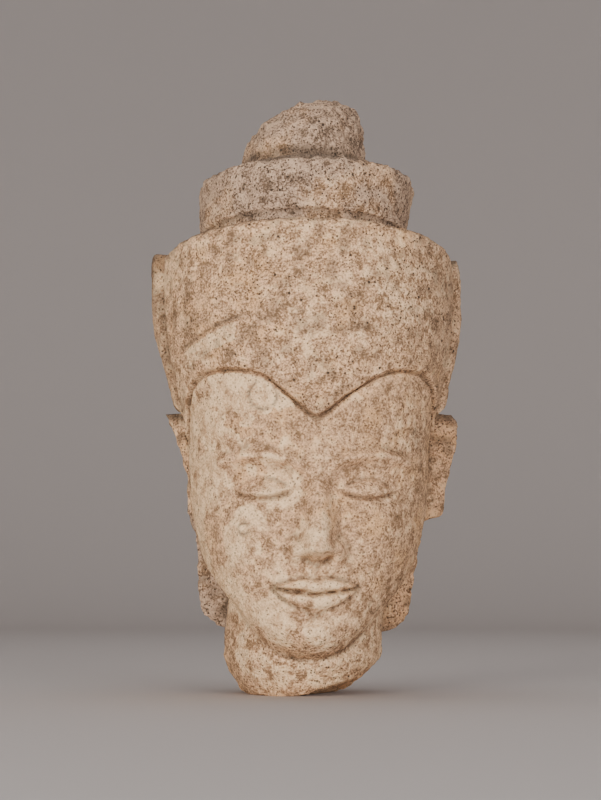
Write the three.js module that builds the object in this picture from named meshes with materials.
// A weathered sandstone head of a crowned bodhisattva, broken off at the neck.
// Millimetres, +Z up. The origin is on the level part of the broken underside, the face looks
// along -Y, and +X is on the right of a viewer in front of the face.
import * as THREE from "three";

const { clamp, degToRad, lerp, smoothstep } = THREE.MathUtils;

// Head: heights are above the underside, depths are from the head's upright axis
const CHIN_HEIGHT = 23.5;
const FACE_HEIGHT = 185;
const FACE_WIDTH = 158;
const FACE_FRONT = 87;
const HEAD_BACK = 93;

// Neck, with the edge of its break
const NECK_WIDTH = 101;
const NECK_FRONT = 63;
const NECK_BACK = 52;
const NECK_SHIFT = -2.9;
const BREAK_EDGE_HEIGHT = 25;
const BREAK_EDGE_INSET = 14;
const CHIP_START = 6;
const CHIP_HEIGHT = 26;
const CHIP_ANGLE = 63;
const FACET_REACH = 14;
const CHIP_REACH = 58;
const SIDE_CHIP_INSET = 15;
const SIDE_CHIP_ANGLE = 95;
const SIDE_CHIP_SPREAD = 50;

// Crown band, flaring from the temples to its rim, and the layer that laps it at the sides
const CROWN_WIDTH = 188;
const CROWN_DEPTH = 192;
const CROWN_FLARE_START = 150;
const CROWN_FLARE_END = 250;
const RIM_HEIGHT = 284.5;
const RIM_DIP = 7;
const RIM_ROUND = 3;
const HAIRLINE_DROP = 8.5;
const PEAK_DROP = 28;
const ARCH_ANGLE = 38;
const ARCH_FULLNESS = 3;
const PEAK_ROUND = 2.2;
const BAND_PROUD = 2.4;
const BAND_GROOVE = 2.6;
const LAP_ANGLE = 77;
const LAP_PROUD_LOW = 1.5;
const LAP_PROUD_LOW_RIGHT = 4.4;
const LAP_PROUD_HIGH = 5.5;
const LAP_GROOVE = 2.5;

// Ring, drum and broken knob on top, all leaning back with the crown
const LEAN_ANGLE = 8;
const LEAN_START = 160;
const LEAN_PIVOT = 195;
const RING_RADIUS = 65.5;
const RING_HEIGHT = 17;
const DRUM_FOOT_RADIUS = 68.5;
const DRUM_TOP_RADIUS = 71.5;
const DRUM_HEIGHT = 34.5;
const DRUM_ROUND = 5;
const SHOULDER_RISE = 8;
const DRUM_FOOT_SHIFT = -1.5;
const DRUM_SHIFT = 1;
const KNOB_RADIUS = 43;
const KNOB_HEIGHT = 49.5;
const KNOB_SHIFT = -4;
const KNOB_LEAN = 14;

// Ears, from the tip of the lobe to the top
const EAR_TOP = 182;
const LOBE_END = 44;
const RIGHT_LOBE_DROP = 4;
const EAR_WIDTH = 38;
const LOBE_WIDTH = 22;
const EAR_RECESS = 6;
const EAR_RIM = 2.5;
const EAR_HOLLOW = 5;
const LOBE_TAPER = 20;
const EAR_SHOULDER = 40;

// How far out each ear reaches at each height: the left one is worn, the right one broken short
const LEFT_EAR = {
  angle: -101,
  lobeEnd: LOBE_END,
  reach: [
    [42, 50], [48, 59], [55, 64.5], [84, 68], [102, 69], [112, 73.5], [126, 74.5], [146, 76.5], [182, 89.5],
  ],
};
const RIGHT_EAR = {
  angle: 98,
  lobeEnd: LOBE_END - RIGHT_LOBE_DROP,
  reach: [
    [38, 50], [41, 58], [45, 63], [52, 66], [84, 69], [100, 71], [111, 73], [114, 84], [131, 87.5],
    [152, 93], [165, 96], [175, 97], [182, 92],
  ],
};

// Face, laid out on the thirds from chin to hairline and on five eye widths across
const BROW_LEVEL = CHIN_HEIGHT + FACE_HEIGHT * (2 / 3);
const NOSE_LEVEL = CHIN_HEIGHT + FACE_HEIGHT / 3;
const MOUTH_LEVEL = CHIN_HEIGHT + FACE_HEIGHT * (2 / 9);
const EYE_LEVEL = BROW_LEVEL - FACE_HEIGHT * 0.1;
const EYE_WIDTH = FACE_WIDTH / 5;
const EYE_SPACING = EYE_WIDTH * 2.1;
const MOUTH_WIDTH = EYE_WIDTH * 1.6;
const NOSE_WIDTH = EYE_WIDTH * 1.1;
const NOSE_PROUD = 20;
const NOSE_TIP_RISE = 7;
const WING_PROUD = 10;
const LIP_PROUD = 4.6;
const UPPER_LIP_HEIGHT = 8.5;
const LOWER_LIP_HEIGHT = 10;
const SMILE_RISE = 3.4;
const LID_PROUD = 7.5;
const LID_HEIGHT = 8.5;
const LID_LINE = EYE_LEVEL - LID_HEIGHT * 0.7;
const SOCKET_DEPTH = 7;
const SOCKET_HEIGHT = 12;
const BROW_PROUD = 4.2;
const BROW_ARCH = 9;
const SLIT_DEPTH = 3;
const SLIT_WIDTH = 2.6;
const CHIN_PROUD = 5;
const CHIN_WIDTH = 17;
const CHIN_RISE = 13;
const CHEEK_PROUD = 3.5;
const CHEEK_WIDTH = 20;
const CHEEK_HEIGHT = 22;
const MUZZLE_PROUD = 5;
const MUZZLE_WIDTH = 30;
const MUZZLE_HEIGHT = 20;

// Mesh density: the face's stretches are the height each one reaches and its count of rows, which
// are close together over the mouth and the eyes
const NECK_ROWS = 5;
const FACE_STRETCHES = [
  [MOUTH_LEVEL - LOWER_LIP_HEIGHT - 1, 6],
  [MOUTH_LEVEL, 5],
  [MOUTH_LEVEL + UPPER_LIP_HEIGHT + 1, 4],
  [NOSE_LEVEL + 5, 5],
  [LID_LINE - 4, 4],
  [LID_LINE, 2],
  [EYE_LEVEL + LID_HEIGHT, 6],
  [BROW_LEVEL + 4, 4],
];
const FOREHEAD_ROWS = 5;
const GROOVE_ROWS = [-2.5, -0.5, 1.5, 3.5];
const BAND_ROWS = 5;
const KNOB_ROWS = 5;

const sinDeg = (angle) => Math.sin(degToRad(angle));
const cosDeg = (angle) => Math.cos(degToRad(angle));

// A bump of height 1 that dies away over about twice its width.
const bell = (offset, width) => Math.exp(-((offset / width) ** 2));

// The larger of two values, with the corner between them rounded off.
const softMax = (a, b, blend) => (a + b + Math.hypot(a - b, blend)) / 2;

// A smooth curve through stations of [place, value], flat beyond its ends.
function through(stations, place) {
  const last = stations.length - 1;
  if (place <= stations[0][0]) return stations[0][1];
  if (place >= stations[last][0]) return stations[last][1];
  const upper = stations.findIndex(([at]) => at > place);
  const slope = (index) => {
    const [before, after] = [stations[Math.max(index - 1, 0)], stations[Math.min(index + 1, last)]];
    return (after[1] - before[1]) / (after[0] - before[0]);
  };
  const [start, end] = [stations[upper - 1], stations[upper]];
  const span = end[0] - start[0];
  const t = (place - start[0]) / span;
  const startRise = slope(upper - 1) * span;
  const endRise = slope(upper) * span;
  const bend = 3 * (end[1] - start[1]) - 2 * startRise - endRise;
  const twist = 2 * (start[1] - end[1]) + startRise + endRise;
  return start[1] + startRise * t + bend * t * t + twist * t * t * t;
}

// The radius, at an angle from the front, of an oval with different depths before and behind.
function ovalRadius(angle, side, front, back, power) {
  const depth = Math.abs(angle) < 90 ? front : back;
  const across = Math.abs(sinDeg(angle) / side) ** power;
  const along = Math.abs(cosDeg(angle) / depth) ** power;
  return (across + along) ** (-1 / power);
}

// The plain head under the carving: an egg-shaped face that flares into the crown band.
function headRadius(angle, height) {
  const level = clamp((height - CHIN_HEIGHT) / FACE_HEIGHT, 0, 1);
  const cheekLevel = 0.62;
  const taper = 0.42 * clamp(1 - level / cheekLevel, 0, 1) ** 1.6;
  const flare = smoothstep(height, CROWN_FLARE_START, CROWN_FLARE_END);
  const side = lerp((FACE_WIDTH / 2) * (1 - taper), CROWN_WIDTH / 2, flare);
  const front = lerp(FACE_FRONT * (0.955 + 0.045 * smoothstep(level, 0, 0.65)), CROWN_DEPTH / 2, flare);
  const back = lerp(HEAD_BACK * (0.74 + 0.26 * smoothstep(level, 0, 0.6)), CROWN_DEPTH / 2, flare);
  return ovalRadius(angle, side, front, back, 2.3 - 0.1 * flare);
}

// How far the jaw and the nape have rounded in towards the neck.
function jawInset(angle, height) {
  const rise = FACE_HEIGHT * 0.27;
  const line = CHIN_HEIGHT + rise * Math.abs(sinDeg(clamp(angle, -90, 90))) ** 2.2;
  const roundHeight = FACE_HEIGHT * 0.12;
  const depth = FACE_FRONT * 0.29;
  const up = clamp((height - line) / roundHeight, 0, 1);
  const below = Math.max(line - height, 0);
  return depth * (1 - Math.sqrt(1 - (1 - up) ** 2)) + 1.5 * below;
}

// The neck, worn at its lower edge and chipped away towards the right of its front.
function neckRadius(angle, height) {
  const round = ovalRadius(angle, NECK_WIDTH / 2, NECK_FRONT, NECK_BACK, 2.3);
  const edge = BREAK_EDGE_INSET * clamp(1 - height / BREAK_EDGE_HEIGHT, 0, 1) ** 1.6;
  const chipFade = 1 - smoothstep(height, CHIP_START, CHIP_HEIGHT);
  const side = SIDE_CHIP_INSET * chipFade * bell(angle - SIDE_CHIP_ANGLE, SIDE_CHIP_SPREAD);
  const facing = cosDeg(angle - CHIP_ANGLE);
  const climb = 1 - (1 - clamp(height / CHIP_HEIGHT, 0, 1)) ** 2.3;
  const plane = lerp(FACET_REACH, CHIP_REACH, climb) / Math.max(facing, 0.05);
  return Math.min(round - edge - side, plane);
}

// The lower edge of the crown: a low peak over the nose, two arches of which the left one is the
// fuller, and a fall in front of each ear.
function hairline(angle) {
  const turn = Math.hypot(angle, PEAK_ROUND) - PEAK_ROUND * bell(angle, 30);
  const top = CHIN_HEIGHT + FACE_HEIGHT - HAIRLINE_DROP;
  const peak = PEAK_DROP * clamp(1 - turn / ARCH_ANGLE, 0, 1) ** 1.8;
  const fuller = turn < ARCH_ANGLE ? ARCH_FULLNESS * bell(angle + ARCH_ANGLE * 0.55, ARCH_ANGLE * 0.24) : 0;
  const fall = FACE_HEIGHT * 0.22 * clamp((turn - ARCH_ANGLE) / (LAP_ANGLE - 3 - ARCH_ANGLE), 0, 1) ** 3;
  return lerp(top - peak + fuller - fall, EAR_TOP + 1, smoothstep(turn, LAP_ANGLE - 5, LAP_ANGLE + 7));
}

// The crown band stands a little proud of the forehead, behind a carved groove, and a
// second layer laps it at the sides and goes round the back.
function crownRelief(angle, height) {
  const above = height - hairline(angle);
  const band = BAND_PROUD * smoothstep(above, -1, 2.5);
  const groove = BAND_GROOVE * bell(above + 0.5, 1.8) * (1 - smoothstep(Math.abs(angle), 74, 84));
  const turn = Math.abs(angle) - LAP_ANGLE;
  const up = smoothstep(height, EAR_TOP, RIM_HEIGHT - 20);
  const low = angle > 0 ? LAP_PROUD_LOW_RIGHT : LAP_PROUD_LOW;
  const lap = lerp(low, LAP_PROUD_HIGH, up) * smoothstep(turn, 0, 5);
  const seam = LAP_GROOVE * bell(turn, 3);
  return band - groove + (lap - seam) * smoothstep(above, -1, 4);
}

// How far the line of the lips rises towards the corners of the mouth.
const smileRise = (x) => SMILE_RISE * clamp(Math.abs(x) / (MOUTH_WIDTH / 2), 0, 1) ** 2.4;

// How far the line under the lids rises towards the corners of each eye.
function lidRise(x) {
  const across = Math.abs(Math.abs(x) - EYE_SPACING / 2) / (EYE_WIDTH / 2);
  return SMILE_RISE * Math.min(across, 1.15) ** 2;
}

// Brow arches and eye sockets, with closed lids that bulge over a slightly curved slit.
function eyeRelief(x, height) {
  const across = Math.abs(x) - EYE_SPACING / 2;
  const browHeight = BROW_LEVEL + 2 - BROW_ARCH * (across / EYE_WIDTH - 0.1) ** 2;
  const browSpan = smoothstep(Math.abs(x), 5, 12) * (1 - smoothstep(across, EYE_WIDTH * 0.7, EYE_WIDTH));
  const brow = BROW_PROUD * bell(height - browHeight, BROW_ARCH / 2) * browSpan;
  const socket = SOCKET_DEPTH * bell(across + 2, EYE_WIDTH * 0.75)
    * bell(height - EYE_LEVEL - 3, SOCKET_HEIGHT);
  const lid = LID_PROUD * bell(across, EYE_WIDTH * 0.47) * bell(height - EYE_LEVEL + 0.5, LID_HEIGHT);
  const slitSpan = 1 - smoothstep(Math.abs(across), EYE_WIDTH * 0.42, EYE_WIDTH * 0.62);
  const slit = SLIT_DEPTH * bell(height - LID_LINE - lidRise(x), SLIT_WIDTH) * slitSpan;
  return brow - socket + lid - slit;
}

// A straight nose that widens to rounded wings, with its underside turned in.
function noseRelief(x, height) {
  const tip = NOSE_LEVEL + NOSE_TIP_RISE;
  const root = EYE_LEVEL + LID_HEIGHT;
  const down = clamp((root - height) / (root - tip), 0, 1);
  const under = smoothstep(height, NOSE_LEVEL - 3, tip - 1);
  const profile = lerp(2.5, NOSE_PROUD, down ** 1.15) * under * (1 - smoothstep(height, root, root + 16));
  const halfWidth = lerp(6.5, NOSE_WIDTH * 0.3, down ** 1.5);
  const bridge = profile * Math.exp(-(Math.abs(x / halfWidth) ** 2.4));
  const wings = WING_PROUD * bell(Math.abs(x) - NOSE_WIDTH * 0.34, NOSE_WIDTH * 0.14)
    * bell(height - NOSE_LEVEL - 5, NOSE_TIP_RISE);
  return Math.cbrt(bridge ** 3 + wings ** 3);
}

// Closed lips with a faint smile, on a softly rounded muzzle, and the chin below them.
function mouthRelief(x, height) {
  const across = clamp(Math.abs(x) / (MOUTH_WIDTH / 2), 0, 1);
  const line = MOUTH_LEVEL + smileRise(x);
  const upper = UPPER_LIP_HEIGHT * (1 - across ** 1.8) * (1 - 0.14 * bell(across, 0.16)) + 0.8;
  const lower = LOWER_LIP_HEIGHT * (1 - across ** 1.8) + 0.8;
  const share = height > line ? (height - line) / upper : (line - height) / lower;
  const full = share < 1 ? (4 * share * (1 - share)) ** 0.8 : 0;
  const fade = 1 - smoothstep(Math.abs(x), MOUTH_WIDTH * 0.4, MOUTH_WIDTH * 0.56);
  const lips = LIP_PROUD * full * fade;
  const slit = SLIT_DEPTH * bell(height - line, SLIT_WIDTH) * fade;
  const muzzle = MUZZLE_PROUD * bell(x, MUZZLE_WIDTH) * bell(height - MOUTH_LEVEL - 2, MUZZLE_HEIGHT);
  const creaseHeight = MOUTH_LEVEL - LOWER_LIP_HEIGHT * 1.6;
  const crease = LIP_PROUD * 0.75 * bell(x, CHIN_WIDTH) * bell(height - creaseHeight, 5);
  const chin = CHIN_PROUD * bell(x, CHIN_WIDTH) * bell(height - CHIN_HEIGHT - CHIN_RISE, CHIN_RISE);
  const cheeks = CHEEK_PROUD * bell(Math.abs(x) - FACE_WIDTH * 0.27, CHEEK_WIDTH)
    * bell(height - NOSE_LEVEL - CHEEK_HEIGHT / 2, CHEEK_HEIGHT);
  return lips - slit + muzzle - crease + chin + cheeks;
}

// One ear: a slab on the side of the head, with a raised rim, a hollow and a long lobe.
function earRadius(angle, height, ear) {
  const upness = smoothstep(height, ear.lobeEnd + LOBE_TAPER, EAR_TOP - EAR_SHOULDER);
  const topTurn = 0.3 * smoothstep(height, EAR_TOP - EAR_SHOULDER / 2, EAR_TOP) ** 2;
  const tipTurn = 0.35 * (1 - smoothstep(height, ear.lobeEnd, ear.lobeEnd + LOBE_TAPER / 2));
  const halfWidth = (lerp(LOBE_WIDTH, EAR_WIDTH, upness) / 2) * (1 - topTurn) * (1 - tipTurn);
  const outer = through(ear.reach, height) / Math.abs(sinDeg(ear.angle));
  const across = (degToRad(angle - ear.angle) * outer) / halfWidth;
  const rim = EAR_RIM * bell(Math.abs(across) - 0.75, 0.25);
  const deep = smoothstep(height, ear.lobeEnd + LOBE_TAPER * 0.4, ear.lobeEnd + LOBE_TAPER);
  const above = smoothstep(height, EAR_TOP - 1, EAR_TOP + 2);
  const ends = smoothstep(height, ear.lobeEnd - 6, ear.lobeEnd) * (1 - above);
  const fall = EAR_WIDTH * (2 * (1 - ends) + Math.max(Math.abs(across) - 0.8, 0) ** 1.5);
  return outer + rim - EAR_HOLLOW * bell(across, 0.45) * deep * ends - fall;
}

// The height of the crown's rim, which dips from the front to where the second layer starts.
function rimHeight(angle) {
  const turn = Math.abs(angle);
  const dip = RIM_DIP * (1 - cosDeg(turn)) * (1 - smoothstep(turn, LAP_ANGLE, LAP_ANGLE + 5));
  return RIM_HEIGHT - dip;
}

// The finished radius of the head, neck to rim, at an angle and a height.
function bodyRadius(angle, height) {
  const plain = headRadius(angle, height);
  const x = plain * sinDeg(angle);
  const facing = 1 - smoothstep(Math.abs(angle), 55, 78);
  const face = eyeRelief(x, height) + noseRelief(x, height) + mouthRelief(x, height);
  const beside = bell(Math.abs(angle) - 99, 17) * (1 - smoothstep(height, EAR_TOP - 2, EAR_TOP + 2));
  const carved = plain + face * facing + crownRelief(angle, height) - EAR_RECESS * beside;
  const skull = carved - jawInset(angle, height);
  const ear = Math.max(earRadius(angle, height, LEFT_EAR), earRadius(angle, height, RIGHT_EAR));
  return softMax(softMax(skull, neckRadius(angle, height), 3), ear, 1.5);
}

// How far the neck's own axis stands to the side of the head's.
const neckShift = (height) => NECK_SHIFT * (1 - smoothstep(height, CHIN_HEIGHT, NOSE_LEVEL));

// A point of the surface, moved to the side by a shift and leaned back with the crown.
function surfacePoint(angle, radius, height, shift) {
  const lean = LEAN_ANGLE * smoothstep(height, LEAN_START, RIM_HEIGHT);
  const forward = radius * cosDeg(angle);
  const up = height - LEAN_PIVOT;
  return new THREE.Vector3(
    radius * sinDeg(angle) + shift,
    up * sinDeg(lean) - forward * cosDeg(lean),
    LEAN_PIVOT + up * cosDeg(lean) + forward * sinDeg(lean),
  );
}

// The angles of the mesh's columns, close together on the face and wide apart behind.
function columnAngles() {
  const right = [];
  const stretches = [[0, 22, 10], [22, 44, 7], [44, 84, 7], [84, 116, 8], [116, 180, 4]];
  for (const [from, to, count] of stretches) {
    for (let step = 0; step < count; step += 1) {
      right.push(lerp(from, to, step / count));
    }
  }
  const left = right.slice(1).reverse().map((angle) => -angle);
  return [...left, ...right, 180];
}

// The height of a row, moved up near the lips and the lids to follow their curved lines.
function alongLines(angle, height) {
  const x = headRadius(angle, height) * sinDeg(angle);
  const facing = 1 - smoothstep(Math.abs(angle), 60, 90);
  const atMouth = smileRise(x) * bell(height - MOUTH_LEVEL, 14);
  const atLids = lidRise(x) * bell(height - LID_LINE, 9);
  return height + (atMouth + atLids) * facing;
}

// The heights of one column's rows, which follow the chin, the lobes and the hairline.
function bodyHeights(angle) {
  const turn = Math.abs(angle);
  const base = lerp(CHIN_HEIGHT, LOBE_END, smoothstep(turn, 20, 80));
  const brim = hairline(angle);
  const heights = [];
  for (let row = 0; row < NECK_ROWS; row += 1) {
    heights.push((base * row) / NECK_ROWS);
  }
  const forehead = FACE_STRETCHES.at(-1)[0];
  let from = CHIN_HEIGHT;
  for (const [to, count] of FACE_STRETCHES) {
    for (let row = 0; row < count; row += 1) {
      const share = (lerp(from, to, row / count) - CHIN_HEIGHT) / (forehead - CHIN_HEIGHT);
      heights.push(alongLines(angle, lerp(base, forehead, share)));
    }
    from = to;
  }
  for (let row = 0; row < FOREHEAD_ROWS; row += 1) {
    heights.push(lerp(forehead, brim + GROOVE_ROWS[0], row / FOREHEAD_ROWS));
  }
  heights.push(...GROOVE_ROWS.map((offset) => brim + offset));
  for (let row = 1; row <= BAND_ROWS; row += 1) {
    heights.push(lerp(brim + GROOVE_ROWS.at(-1), rimHeight(angle) - RIM_ROUND, row / BAND_ROWS));
  }
  return heights;
}

// The rows above the rim: ledge, recessed ring, drum, its worn top edge, the shoulder that slopes
// up from it, and the knob.
function topRows(angle) {
  const brink = rimHeight(angle);
  const rim = bodyRadius(angle, brink - RIM_ROUND);
  const ringTop = RIM_HEIGHT + RING_HEIGHT;
  const drumTop = ringTop + DRUM_HEIGHT;
  const knobFoot = drumTop + SHOULDER_RISE;
  const rows = [
    [rim - RIM_ROUND * 0.3, brink - RIM_ROUND * 0.3, 0],
    [rim - RIM_ROUND, brink, 0],
    [RING_RADIUS, RIM_HEIGHT, DRUM_FOOT_SHIFT],
    [RING_RADIUS, ringTop - 2, DRUM_FOOT_SHIFT],
    [DRUM_FOOT_RADIUS, ringTop, DRUM_FOOT_SHIFT],
    [(DRUM_FOOT_RADIUS + DRUM_TOP_RADIUS) / 2, ringTop + DRUM_HEIGHT / 2, (DRUM_FOOT_SHIFT + DRUM_SHIFT) / 2],
    [DRUM_TOP_RADIUS, drumTop - DRUM_ROUND, DRUM_SHIFT],
    [DRUM_TOP_RADIUS - DRUM_ROUND * 0.3, drumTop - DRUM_ROUND * 0.3, DRUM_SHIFT],
    [DRUM_TOP_RADIUS - DRUM_ROUND, drumTop, DRUM_SHIFT],
  ];
  for (let row = 0; row < KNOB_ROWS; row += 1) {
    const up = sinDeg((90 * row) / KNOB_ROWS);
    const power = 3.15 + 1.35 * sinDeg(angle);
    const roundness = 0.51 - 0.09 * sinDeg(angle);
    const radius = KNOB_RADIUS * (1 - up ** power) ** roundness;
    rows.push([radius, knobFoot + KNOB_HEIGHT * up, KNOB_SHIFT + KNOB_LEAN * up ** 6]);
  }
  return rows;
}

// The closed surface: a fan on the underside, a grid of columns, and a fan at the top.
function headGeometry() {
  const angles = columnAngles();
  const columns = angles.map((angle) => [
    ...bodyHeights(angle).map((height) =>
      surfacePoint(angle, bodyRadius(angle, height), height, neckShift(height))),
    ...topRows(angle).map(([radius, height, shift]) => surfacePoint(angle, radius, height, shift)),
  ]);
  const rowCount = columns[0].length;
  const points = columns.flat();
  const bottom = points.push(surfacePoint(0, 0, 0, NECK_SHIFT)) - 1;
  const fullHeight = RIM_HEIGHT + RING_HEIGHT + DRUM_HEIGHT + SHOULDER_RISE + KNOB_HEIGHT;
  const top = points.push(surfacePoint(0, 0, fullHeight, KNOB_SHIFT + KNOB_LEAN)) - 1;
  const faces = [];
  columns.forEach((column, here) => {
    const start = here * rowCount;
    const next = ((here + 1) % columns.length) * rowCount;
    faces.push(bottom, next, start);
    for (let row = 0; row < rowCount - 1; row += 1) {
      const [low, lowNext] = [start + row, next + row];
      const [high, highNext] = [low + 1, lowNext + 1];
      const split = angles[here] < 0
        ? [low, lowNext, highNext, low, highNext, high]
        : [low, lowNext, high, lowNext, highNext, high];
      faces.push(...split);
    }
    faces.push(start + rowCount - 1, next + rowCount - 1, top);
  });
  const geometry = new THREE.BufferGeometry().setFromPoints(points);
  geometry.setIndex(faces);
  geometry.computeVertexNormals();
  return geometry;
}

const sandstone = new THREE.MeshStandardMaterial({ color: 0xb89c84, roughness: 0.95, metalness: 0 });

const head = new THREE.Mesh(headGeometry(), sandstone);
head.name = "bodhisattva_head";

const model = new THREE.Group();
model.add(head);

export default model;
